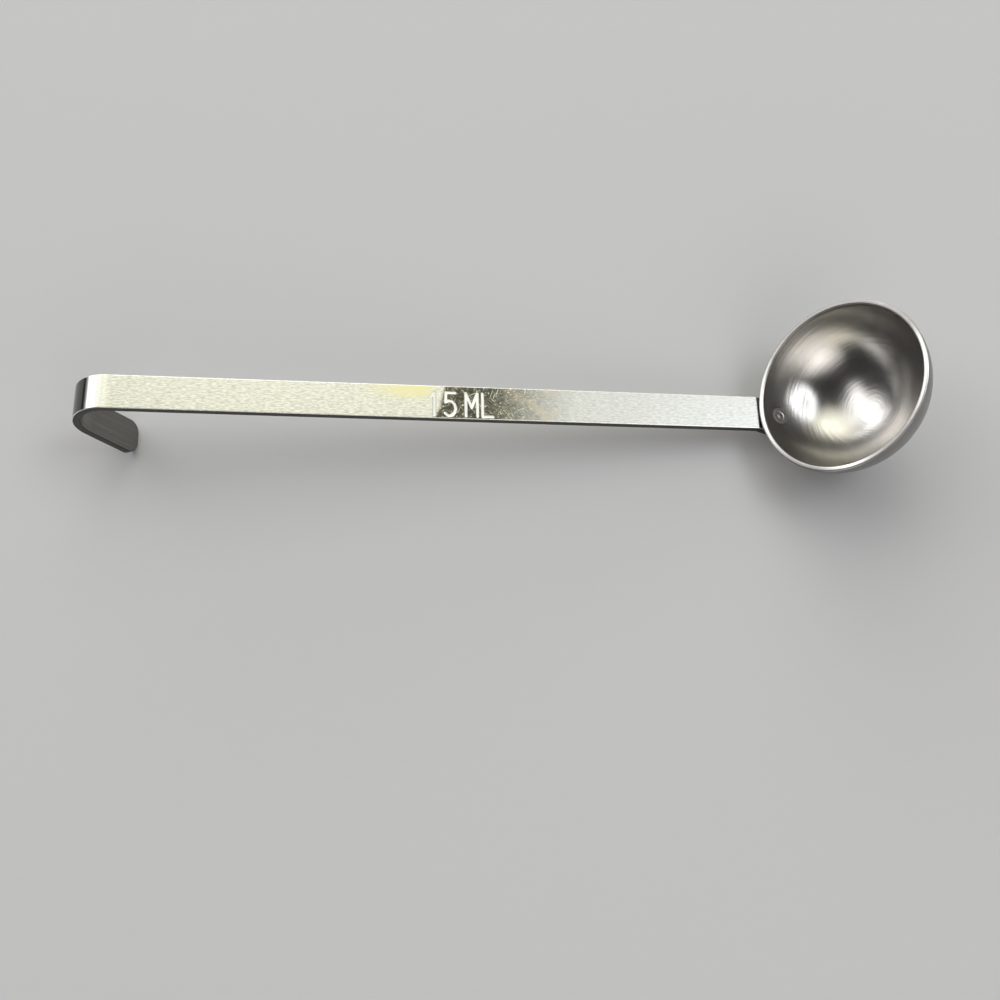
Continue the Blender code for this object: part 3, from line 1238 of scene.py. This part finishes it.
@dataclass
class Weld:
    """The spot weld: a button through the cup's wall into the strip, with a ringed nub inside the cup."""

    pose: Pose
    cup: Cup
    below_rim: float = 6.3 * MM
    radius: float = 1.5 * MM
    depth: float = 1.8 * MM
    collar: float = 0.1 * MM
    mark_radius: float = 2.05 * MM
    ring_radius: float = 1.42 * MM
    ring_width: float = 0.28 * MM
    ring_height: float = 0.065 * MM
    nub_radius: float = 0.55 * MM
    nub_height: float = 0.13 * MM
    film: float = 0.012 * MM
    segments: int = 72
    steps: int = 42
    sharp_edge: float = math.radians(50.0)
    finish: WeldSteel = field(default_factory=WeldSteel)

    def height(self, across: float) -> float:
        """How far the mark stands proud of the cup's inside.

        Args:
            across: The distance from its middle.

        Returns:
            The height.
        """
        ring = self.ring_height * math.exp(-(((across - self.ring_radius) / self.ring_width) ** 2))
        nub = self.nub_height * math.exp(-((across / self.nub_radius) ** 2))
        return self.film + ring + nub

    def profile(self) -> list[Point]:
        """Draws the button's section about its axis.

        Returns:
            The section's (radius, height) points, with heights from the ball's centre.
        """
        ball = self.cup.inner_radius
        bottom = -ball - self.depth
        spots = [(0.0, bottom), (self.radius, bottom), (self.radius, -ball - self.collar)]
        spots.append((self.mark_radius, -math.sqrt(ball**2 - self.mark_radius**2)))
        for step in range(self.steps + 1):
            across = self.mark_radius * (1.0 - step / self.steps)
            spots.append((across, self.height(across) - math.sqrt(ball**2 - across**2)))
        return spots

    def build(self) -> bpy.types.Object:
        """Builds and dresses the weld.

        Returns:
            The piece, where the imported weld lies.
        """
        ball = self.pose.cup_radius
        angle = math.acos(self.cup.rim_below_centre / ball) - self.below_rim / ball
        weld = smooth_object(spun(self.profile(), self.segments), "weld_button", self.sharp_edge)
        carry(weld.data, "place", points_of(weld.data))
        weld.data.materials.append(self.finish.material())
        weld.data.transform(Matrix.Rotation(angle, 4, "Y"))
        reshape(weld.data, self.cup.flattened(points_of(weld.data)))
        weld.data.transform(self.pose.matrix())
        return weld


@dataclass(frozen=True)
class SoftLamp:
    """A soft oval lamp that faces the ladle, brightest in its middle.

    The angles are in degrees, seen from the ladle: azimuth 0 is towards +Y and 90 towards +X. The layers are
    ovals in shares of the lamp's size, the smaller ones nearer.
    """

    name: str
    azimuth: float
    elevation: float
    half_width: float
    half_height: float
    radiance: float
    colour: Colour
    distance: float = 3.0
    layers: tuple[float, ...] = (1.0, 0.84, 0.68, 0.52, 0.36)
    layer_gap: float = 0.02

    def build(self) -> None:
        """Hangs the lamp."""
        turn, rise = math.radians(self.azimuth), math.radians(self.elevation)
        out = Vector((math.sin(turn) * math.cos(rise), math.cos(turn) * math.cos(rise), math.sin(rise)))
        width = 2.0 * math.tan(math.radians(self.half_width))
        height = 2.0 * math.tan(math.radians(self.half_height))
        for number, share in enumerate(self.layers, start=1):
            distance = self.distance - number * self.layer_gap
            lamp = bpy.data.lights.new(f"{self.name}_{number}", "AREA")
            lamp.shape = "ELLIPSE"
            lamp.size, lamp.size_y = distance * width * share, distance * height * share
            area = 0.25 * math.pi * lamp.size * lamp.size_y
            lamp.energy = self.radiance / len(self.layers) * math.pi * area
            lamp.color = self.colour
            obj = bpy.data.objects.new(lamp.name, lamp)
            obj.location = out * distance
            obj.rotation_euler = (-out).to_track_quat("-Z", "Y").to_euler()
            obj.visible_camera = False
            bpy.context.scene.collection.objects.link(obj)


@dataclass
class Studio:
    """The floor, the lamps, the world and the camera, which stands where the photograph was taken from."""

    floor_radius: float = 6.0
    floor_segments: int = 96
    floor_edge: float = math.radians(30.0)
    floor_colour: Colour = (0.54, 0.54, 0.545)
    floor_roughness: float = 0.9
    world_colour: Colour = (0.03, 0.03, 0.031)
    camera_place: tuple[float, float, float] = (0.000162, -0.128456, 0.275366)
    camera_yaw: float = math.radians(-0.2517)
    camera_pitch: float = math.radians(68.1716)
    camera_roll: float = math.radians(-1.7391)
    camera_lens: float = 44.64
    camera_sensor: float = 36.0
    camera_nearest: float = 0.01
    # Each lamp's name, azimuth, elevation, half width and half height in degrees, radiance and colour.
    lamps: tuple[SoftLamp, ...] = (
        SoftLamp("left_wall", -60.0, 38.0, 27.0, 32.0, 1.5, (0.98, 1.0, 1.0)),
        SoftLamp("left_top", -98.0, 50.0, 16.0, 12.0, 1.7, (0.98, 0.98, 1.0)),
        SoftLamp("left_glow", -58.0, 28.0, 17.0, 10.0, 1.4, (1.0, 0.98, 0.95)),
        SoftLamp("left_window", -76.0, 50.0, 13.0, 22.0, 0.8, (1.0, 0.94, 0.91)),
        SoftLamp("back_window", 1.0, 47.0, 30.0, 38.0, 1.9, (1.0, 0.99, 0.86)),
        SoftLamp("right_window", 80.0, 54.0, 26.0, 19.0, 4.4, (0.94, 0.96, 1.0)),
        SoftLamp("low_lamp", -14.0, 12.0, 49.0, 19.0, 3.6, (0.98, 0.98, 1.0)),
        SoftLamp("front_lamp", 157.0, 31.0, 42.0, 24.0, 1.8, (1.0, 0.97, 0.93)),
    )

    def floor(self) -> None:
        """Lays the plain pale floor."""
        bm = bmesh.new()
        bmesh.ops.create_circle(bm, cap_ends=True, segments=self.floor_segments, radius=self.floor_radius)
        floor = smooth_object(bm, "floor", self.floor_edge)
        material = bpy.data.materials.new("pale_floor")
        material.use_nodes = True
        shader = material.node_tree.nodes["Principled BSDF"]
        shader.inputs["Base Color"].default_value = rgba(self.floor_colour)
        shader.inputs["Roughness"].default_value = self.floor_roughness
        floor.data.materials.append(material)

    def world(self) -> None:
        """Fills the room with an even, dim light."""
        world = bpy.data.worlds.new("studio")
        world.use_nodes = True
        world.node_tree.nodes["Background"].inputs["Color"].default_value = rgba(self.world_colour)
        bpy.context.scene.world = world

    def camera(self) -> None:
        """Sets up the camera."""
        lens = bpy.data.cameras.new("camera")
        lens.lens = self.camera_lens
        lens.sensor_width = self.camera_sensor
        lens.clip_start = self.camera_nearest
        camera = bpy.data.objects.new("camera", lens)
        turn = Matrix.Rotation(-self.camera_yaw, 4, "Z")
        tip = Matrix.Rotation(0.5 * math.pi - self.camera_pitch, 4, "X")
        roll = Matrix.Rotation(self.camera_roll, 4, "Z")
        camera.matrix_world = Matrix.Translation(self.camera_place) @ turn @ tip @ roll
        bpy.context.scene.collection.objects.link(camera)
        bpy.context.scene.camera = camera

    def build(self) -> None:
        """Sets up the whole studio."""
        bpy.context.scene.view_settings.view_transform = "Standard"
        self.camera()
        self.floor()
        self.world()
        for lamp in self.lamps:
            lamp.build()


def declare(piece: bpy.types.Object, node: str) -> None:
    """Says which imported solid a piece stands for, and logs it.

    Args:
        piece: The finished piece.
        node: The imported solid's name.
    """
    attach(piece, BODY)
    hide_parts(node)
    LOG.info("%s stands for %s, %d points", piece.name, node, len(piece.data.vertices))


def main() -> None:
    """Builds the studio and the ladle's pieces."""
    logging.basicConfig(level=logging.INFO, format="%(message)s")
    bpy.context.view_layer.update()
    Studio().build()
    pose = Pose()
    cup = Cup(pose)
    declare(cup.build(), "bowl")
    declare(Handle(pose, cup).build(), "handle")
    declare(Weld(pose, cup).build(), "spot_weld")


if __name__ == "__main__":
    main()
